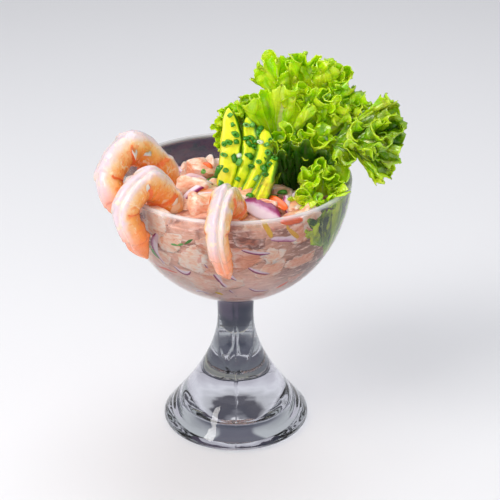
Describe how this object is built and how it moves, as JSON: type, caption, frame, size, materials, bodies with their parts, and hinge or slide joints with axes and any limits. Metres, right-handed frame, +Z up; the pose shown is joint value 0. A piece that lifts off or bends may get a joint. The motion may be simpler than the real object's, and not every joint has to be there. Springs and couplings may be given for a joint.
{
  "type": "shrimp ceviche in a footed glass cup",
  "caption": "Fish and onion ceviche in a footed glass cup, with shrimps hooked over the rim, fanned avocado and frilly lettuce.",
  "frame": {"origin": "on the table, under the middle of the whole's box; the cup's own axis stands 5.7 mm to the left of it and 7.6 mm behind it", "axes": "+Z up along the cup's stem, which is the longest extent, +X to the right and -Y to the front, where the middle shrimp hangs"},
  "size_m": [0.138, 0.121, 0.178],
  "materials": {
    "glass": "clear pressed glass, polished",
    "marinated_mix": "moist pink fish and juice",
    "shrimp": "moist cooked shrimp, white to orange",
    "avocado": "buttery yellow to green flesh",
    "lettuce": "thin yellow-green leaf",
    "red_onion": "moist lilac-white slivers, purple at the edge",
    "pepper": "moist orange and yellow strips",
    "chives": "fresh green rings"
  },
  "bodies": {
    "root": {"cup": "glass", "ceviche_mix": "marinated_mix", "shrimp_1": "shrimp", "shrimp_2": "shrimp", "shrimp_3": "shrimp", "avocado_slice_1": "avocado", "avocado_slice_2": "avocado", "avocado_slice_3": "avocado", "avocado_slice_4": "avocado", "avocado_slice_5": "avocado", "lettuce_leaf_1": "lettuce", "lettuce_leaf_2": "lettuce", "lettuce_leaf_3": "lettuce", "lettuce_leaf_4": "lettuce", "lettuce_leaf_5": "lettuce"}
  },
  "joints": []
}
